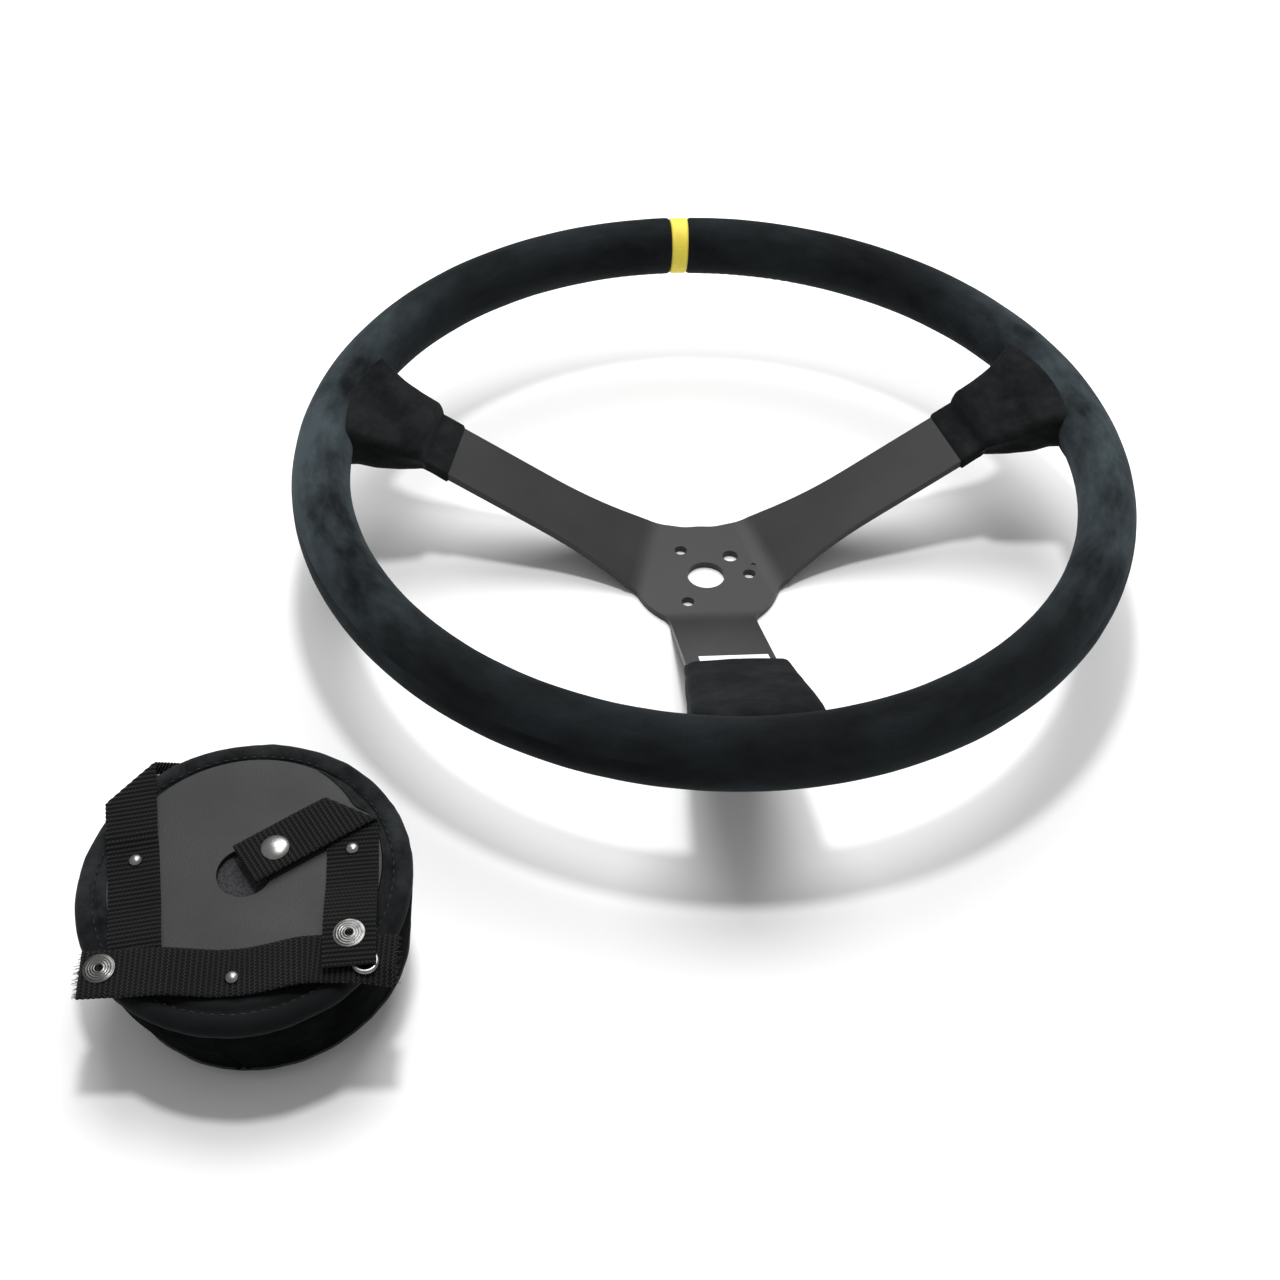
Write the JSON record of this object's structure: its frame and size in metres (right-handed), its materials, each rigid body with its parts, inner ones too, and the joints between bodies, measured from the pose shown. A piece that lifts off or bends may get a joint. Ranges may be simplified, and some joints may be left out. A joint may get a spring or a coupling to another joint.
{
  "type": "quick release steering wheel",
  "caption": "Deep-dish three-spoke round steering wheel with suede grip, drilled hub plate and top marker, and a loose round crash pad with press-stud straps.",
  "frame": {"origin": "centre of the hub bore on the back face of the hub plate, which is the floor the wheel lies on", "axes": "+Z along the wheel's axis towards the driver, +Y towards the marker band at the top of the rim, +X to the driver's right"},
  "size_m": [0.4859, 0.5015, 0.0922],
  "materials": {
    "suede": "brushed black suede, matt, with a faint grey-green nap",
    "marker_suede": "pale yellow leather, matt",
    "thread": "black waxed thread",
    "decal_film": "thin white film, matt",
    "frame_paint": "satin dark grey powder coat with a fine texture",
    "hoop_steel": "bare mild steel, hidden",
    "foam": "closed-cell foam, hidden except in the hole of the back plate",
    "face_fabric": "black padded fabric, matt",
    "plate_plastic": "dark grey moulded sheet with a fine grain",
    "webbing": "ribbed black nylon webbing",
    "snap_nickel": "nickel-plated brass, lightly worn"
  },
  "bodies": {
    "wheel": {"spoke_frame": "frame_paint", "rim_hoop": "hoop_steel", "rim_welds": "hoop_steel", "rim_foam": "foam", "rim_cover": "suede", "marker_band": "marker_suede", "rim_stitching": "thread", "boot_foam_left": "foam", "boot_foam_right": "foam", "boot_foam_bottom": "foam", "boot_cover_left": "suede", "boot_cover_right": "suede", "boot_cover_bottom": "suede", "spoke_decal": "decal_film"},
    "pad": {"pad_foam": "foam", "pad_face_panel": "face_fabric", "pad_side_panel": "suede", "pad_binding": "suede", "pad_back_plate": "plate_plastic", "pad_rivets": "snap_nickel", "rivet_washers": "snap_nickel", "strap_left": "webbing", "strap_right": "webbing", "strap_bottom": "webbing", "left_low_eyelet": "snap_nickel", "left_low_stud": "snap_nickel", "bottom_right_socket": "snap_nickel", "bottom_right_cap": "snap_nickel"},
    "left_top_end": {"strap_left_top": "webbing", "left_top_cap": "snap_nickel", "left_top_socket": "snap_nickel"},
    "right_flap": {"strap_right_flap": "webbing", "right_flap_cap": "snap_nickel", "right_flap_socket": "snap_nickel"},
    "right_low_end": {"strap_right_low": "webbing", "right_low_eyelet": "snap_nickel", "right_low_stud": "snap_nickel"},
    "bottom_left_end": {"strap_bottom_left": "webbing", "bottom_left_eyelet": "snap_nickel", "bottom_left_stud": "snap_nickel"}
  },
  "joints": [
    {"name": "pad_lift", "type": "slide", "parent": "wheel", "child": "pad", "axis": [0, 0, 1], "range_m": [0, 0.12]},
    {"name": "left_strap_top_fold", "type": "hinge", "parent": "pad", "child": "left_top_end", "pos_m": [-0.26441, -0.18185, 0.06163], "axis": [0.7022, 0.699, 0.1352], "range_deg": [0, 100]},
    {"name": "right_strap_flap_fold", "type": "hinge", "parent": "pad", "child": "right_flap", "pos_m": [-0.17118, -0.20203, 0.06566], "axis": [-0.8589, 0.5121, -0.0012], "range_deg": [0, 150]},
    {"name": "right_strap_low_fold", "type": "hinge", "parent": "pad", "child": "right_low_end", "pos_m": [-0.17137, -0.25174, 0.06528], "axis": [-0.9974, 0.0043, -0.0723], "range_deg": [0, 110]},
    {"name": "bottom_strap_left_fold", "type": "hinge", "parent": "pad", "child": "bottom_left_end", "pos_m": [-0.26187, -0.27048, 0.05511], "axis": [0.0566, 0.9908, 0.1231], "range_deg": [0, 120]}
  ]
}
